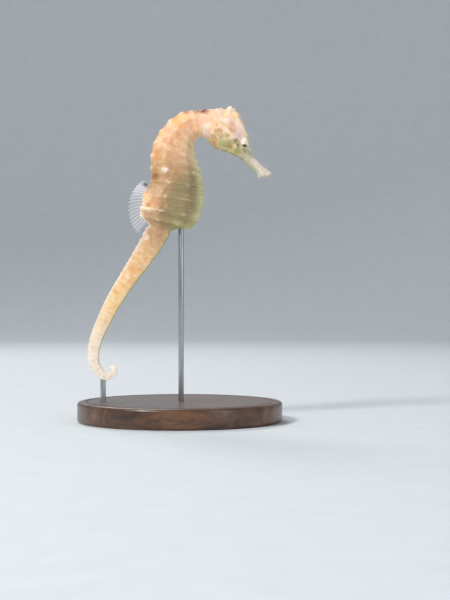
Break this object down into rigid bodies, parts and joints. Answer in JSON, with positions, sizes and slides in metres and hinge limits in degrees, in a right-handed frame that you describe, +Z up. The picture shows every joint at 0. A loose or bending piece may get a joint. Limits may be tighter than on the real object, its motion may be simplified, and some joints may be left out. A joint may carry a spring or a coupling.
{
  "type": "seahorse model",
  "caption": "Still, life-size model of a pale spotted seahorse with a hooked tail, held upright by slim steel rods on a round wooden base.",
  "frame": {"origin": "middle of the base's underside, on the surface it stands on", "axes": "+Z up; +X the way the animal faces; its right side toward -Y; mid plane y = 0"},
  "size_m": [0.092, 0.092, 0.1419],
  "materials": {
    "mouth_skin": "painted cast skin, satin",
    "snout_skin": "painted cast skin, satin",
    "head_skin": "painted cast skin, satin",
    "neck_skin": "painted cast skin, satin",
    "trunk_upper_skin": "painted cast skin, satin",
    "trunk_lower_skin": "painted cast skin, satin",
    "tail_base_skin": "painted cast skin, satin",
    "tail_middle_skin": "painted cast skin, satin",
    "tail_lower_skin": "painted cast skin, satin",
    "tail_curl_skin": "painted cast skin, satin",
    "coronet_skin": "painted cast skin, satin",
    "gill_cover_skin": "painted smooth plate, satin",
    "eye_glass": "clear gloss over a painted iris",
    "fin_membrane": "thin clear film with paler rays",
    "stand_wood": "dark stained, satin lacquer",
    "stand_steel": "brushed"
  },
  "bodies": {
    "root": {"mouth": "mouth_skin", "snout": "snout_skin", "head": "head_skin", "neck": "neck_skin", "trunk_upper": "trunk_upper_skin", "trunk_lower": "trunk_lower_skin", "tail_base": "tail_base_skin", "tail_middle": "tail_middle_skin", "tail_lower": "tail_lower_skin", "tail_curl": "tail_curl_skin", "coronet": "coronet_skin", "gill_cover_right": "gill_cover_skin", "gill_cover_left": "gill_cover_skin", "eye_right": "eye_glass", "eye_left": "eye_glass", "dorsal_fin": "fin_membrane", "pectoral_fin_right": "fin_membrane", "pectoral_fin_left": "fin_membrane", "anal_fin": "fin_membrane", "stand_base": "stand_wood", "stand_rod_belly": "stand_steel", "stand_rod_tail": "stand_steel"}
  },
  "joints": []
}
